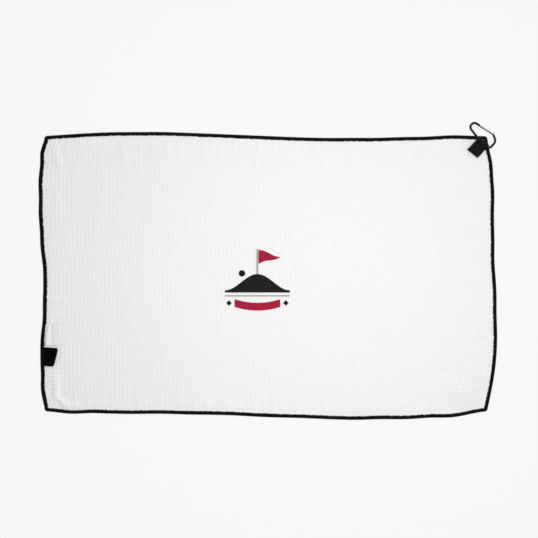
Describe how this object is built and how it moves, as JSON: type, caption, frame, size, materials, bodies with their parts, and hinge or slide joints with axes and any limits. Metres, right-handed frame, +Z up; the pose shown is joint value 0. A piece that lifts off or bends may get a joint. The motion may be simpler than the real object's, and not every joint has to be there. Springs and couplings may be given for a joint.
{
  "type": "golf towel",
  "caption": "Flat white waffle-weave golf towel with black overlocked edges, a webbing tab at one corner and a small spring-gate carabiner to hang it from a bag.",
  "frame": {"origin": "middle of the cloth's underside, halfway between its corners", "axes": "+X along the towel's long side towards the carabiner, +Y across it, +Z up out of its face"},
  "size_m": [0.624, 0.4051, 0.0085],
  "materials": {
    "waffle_microfibre": "white microfibre in a waffle weave with cells of about 5.6 mm, soft and matt",
    "overlock_thread": "black textured polyester thread, wrapped close",
    "black_webbing": "black ribbed polyester webbing, slight sheen",
    "black_label_tape": "black woven damask tape, smooth with a slight sheen",
    "white_satin_tape": "white satin ribbon, soft sheen",
    "black_anodised_rod": "black anodised, semi-gloss",
    "bright_gate_metal": "bright drawn rod, polished",
    "plain_steel": "plain wire and pins",
    "black_embroidery": "black rayon satin stitch",
    "crimson_embroidery": "crimson rayon satin stitch",
    "grey_embroidery": "warm grey rayon satin stitch"
  },
  "bodies": {
    "towel": {"towel_cloth": "waffle_microfibre", "edging_bottom": "overlock_thread", "edging_right": "overlock_thread", "edging_top": "overlock_thread", "edging_left": "overlock_thread", "webbing_tab": "black_webbing", "tab_stitching_end": "overlock_thread", "tab_stitching_fold": "overlock_thread", "emblem_hill": "black_embroidery", "emblem_flagstick": "grey_embroidery", "emblem_pennant": "crimson_embroidery", "emblem_ball": "black_embroidery", "emblem_rule": "grey_embroidery", "emblem_band": "crimson_embroidery", "emblem_diamond_left": "black_embroidery", "emblem_diamond_right": "black_embroidery"},
    "carabiner": {"carabiner_body": "black_anodised_rod", "gate_rivet": "plain_steel"},
    "gate": {"carabiner_gate": "bright_gate_metal", "gate_latch_pin": "plain_steel", "gate_plunger": "plain_steel", "gate_spring": "plain_steel"},
    "side_label": {"side_label": "black_label_tape"},
    "care_label": {"care_label": "white_satin_tape"}
  },
  "joints": [
    {"name": "carabiner_swing", "type": "hinge", "parent": "towel", "child": "carabiner", "pos_m": [0.2942, 0.1778, 0.0056], "axis": [0.7314, -0.682, 0], "range_deg": [0, 180]},
    {"name": "gate_swing", "type": "hinge", "parent": "carabiner", "child": "gate", "pos_m": [0.30832, 0.18942, 0.00192], "axis": [0.1357, 0.1455, 0.98], "range_deg": [0, 28], "stiffness_Nm_per_rad": 0.02, "springref_deg": -45.84},
    {"name": "side_label_lift", "type": "hinge", "parent": "towel", "child": "side_label", "pos_m": [-0.30063, -0.1125, 0.0033], "axis": [-0.0698, -0.9976, 0], "range_deg": [0, 150]},
    {"name": "care_label_lift", "type": "hinge", "parent": "towel", "child": "care_label", "pos_m": [-0.30025, -0.0831, 0.0027], "axis": [0, -1, 0], "range_deg": [0, 150]}
  ]
}
